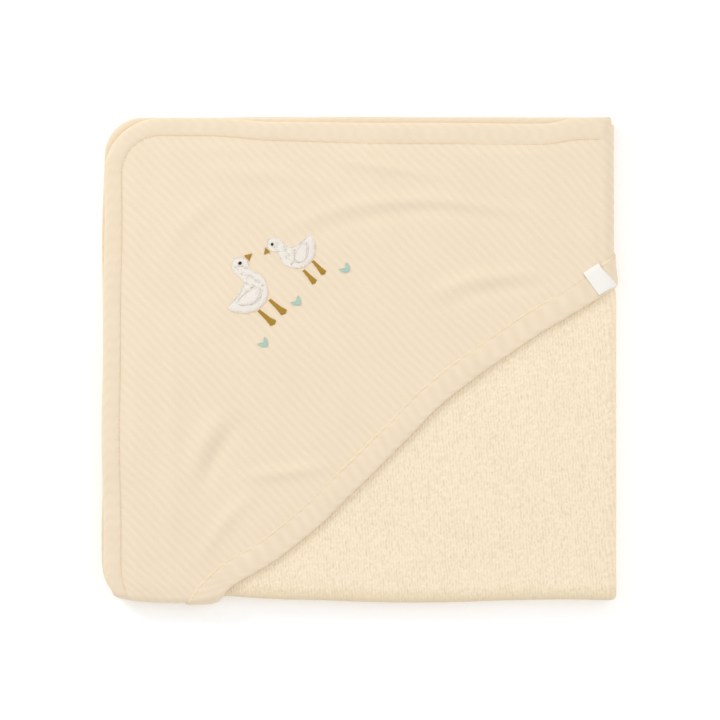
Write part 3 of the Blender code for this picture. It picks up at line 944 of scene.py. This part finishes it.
def embroider():
    """Every embroidered patch, each in place of its CAD solid."""
    # material, slot, angle of the threads, lift over the hood, ragged ends
    parts = {
        "body": (WHITE_THREAD, "white_thread", 0.35, 0.0001, 0.0006),
        "wing": (WHITE_THREAD, "white_thread", 1.25, 0.0007, 0.0002),
        "eye": (BROWN_THREAD, "brown_thread", 0.6, 0.0007, 0.0),
        "beak": (OCHRE_THREAD, "ochre_thread", 0.9, 0.0002, 0.0),
        "back_leg": (OCHRE_THREAD, "ochre_thread", -0.35, 0.0001, 0.0),
        "front_leg": (OCHRE_THREAD, "ochre_thread", -0.35, 0.0001, 0.0),
    }
    for side, turn in (("left", 0.0), ("right", 0.9)):
        for part, (material, slot, angle, lift, ragged) in parts.items():
            node = f"bird_{side}_{part}"
            runs = satin(node, angle + turn, lift, ragged)
            if part in ("body", "wing"):
                runs += outline_runs(node, lift + 0.0003)
            finish_patch(node, runs, material)
    for node in ("sprig_left", "sprig_middle", "sprig_right"):
        runs = satin(node, 0.3, 0.0001) + outline_runs(node, 0.0002)
        finish_patch(node, runs, SAGE_THREAD)


def finish_patch(node, runs, material):
    """The patch's mesh, riding on the upper leaf."""
    piece = threads(node + "_stitched", runs, THREAD_RADIUS, material)
    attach(piece, "upper_leaf")
    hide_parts(node)


# ---------------------------------------------------------------- the label


def label_tab():
    """The folded woven tab over the end of the mouth tape."""
    low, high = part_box("label_tab")
    centre = np.array((0.5 * (low[0] + high[0]), 0.5 * (low[1] + high[1])))
    centre += LABEL_SHIFT
    u = np.array((math.cos(LABEL_TURN), math.sin(LABEL_TURN)))
    v = np.array((-u[1], u[0]))
    a = np.linspace(-0.5, 0.5, 17)[:, None] * LABEL_WIDTH
    b = np.linspace(-0.5, 0.5, 25)[None, :] * LABEL_LENGTH
    a, b = np.broadcast_arrays(a, b)
    x = centre[0] + u[0] * a + v[0] * b
    y = centre[1] + u[1] * a + v[1] * b
    # It drops off the tape's inner edge, and less at the free edge.
    drop = smooth((b - 0.0066) / 0.0040) + 0.33 * smooth((-0.0080 - b) / 0.0025)
    curl = 0.00015 * np.sin(a * 260.0) * np.cos(b * 150.0)
    h = HOOD_UNDER + LABEL_HEIGHT - 0.0012 * drop + curl
    top, bottom = (on_top(x, y, h + face) for face in LABEL_CLOTH)
    return outward(closed_cloth("label", top, bottom, np.stack((a, b), axis=-1), LABEL))


# ---------------------------------------------------------------- light, floor and camera


FLOOR_DROP = -0.0006


def studio():
    """A white sweep, soft light from the upper left and a camera straight above."""
    scene = bpy.context.scene
    scene.view_settings.view_transform = "Standard"
    world = bpy.data.worlds.new("studio")
    world.use_nodes = True
    background = world.node_tree.nodes["Background"]
    background.inputs["Color"].default_value = (1.0, 1.0, 1.0, 1.0)
    background.inputs["Strength"].default_value = 0.83
    scene.world = world

    mesh = bpy.data.meshes.new("floor")
    reach = 3.0
    corners = [(reach * a, reach * b, 0.0) for a, b in ((-1, -1), (1, -1), (1, 1), (-1, 1))]
    mesh.from_pydata(corners, [], [(0, 1, 2, 3)])
    floor = bpy.data.objects.new("floor", mesh)
    scene.collection.objects.link(floor)
    pale = bpy.data.materials.new("floor_white")
    pale.use_nodes = True
    shader = pale.node_tree.nodes["Principled BSDF"]
    shader.inputs["Base Color"].default_value = (0.97, 0.97, 0.97, 1.0)
    shader.inputs["Roughness"].default_value = 1.0
    shader.inputs["Specular IOR Level"].default_value = 0.0
    shader.inputs["Emission Color"].default_value = (1.0, 1.0, 1.0, 1.0)
    shader.inputs["Emission Strength"].default_value = 0.12
    mesh.materials.append(pale)
    floor.location.z = FLOOR_DROP

    for name, place, size, power in (
        ("key", (-1.5, 1.3, 1.1), 0.9, 15.0),
        ("fill", (1.4, 0.5, 2.2), 1.6, 9.0),
    ):
        light = bpy.data.lights.new(name, "AREA")
        light.shape = "DISK"
        light.size = size
        light.energy = power
        lamp = bpy.data.objects.new(name, light)
        lamp.location = place
        lamp.rotation_euler = (-Vector(place)).to_track_quat("-Z", "Y").to_euler()
        scene.collection.objects.link(lamp)

    camera = bpy.data.cameras.new("camera")
    view_width = 0.540
    height = 2.6
    camera.sensor_width = 36.0
    camera.lens = camera.sensor_width * (height - UPPER_HIGH[2]) / view_width
    eye = bpy.data.objects.new("camera", camera)
    eye.location = (0.0, 0.0, height)
    scene.collection.objects.link(eye)
    scene.camera = eye


# ---------------------------------------------------------------- assembly


def across_fold(piece):
    """Bakes the piece's transform into its mesh and leaves it on no body."""
    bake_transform(piece)
    return piece


def on_upper(piece):
    """The piece rides on the upper leaf."""
    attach(piece, "upper_leaf")
    return piece


studio()

towel = across_fold(terry_sheet())
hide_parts("towel_lower_leaf", "towel_upper_leaf")

edge = across_fold(perimeter_tape())
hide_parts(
    "edge_tape_bottom", "edge_tape_lower_inner", "edge_tape_upper_inner", "edge_tape_hood"
)
edge_seam = across_fold(edge_stitches())

hood = on_upper(hood_panel())
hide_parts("hood_panel")

mouth = on_upper(mouth_tape())
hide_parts("hood_mouth_tape")
mouth_seam = on_upper(mouth_stitches())

tab = on_upper(label_tab())
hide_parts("label_tab")

embroider()
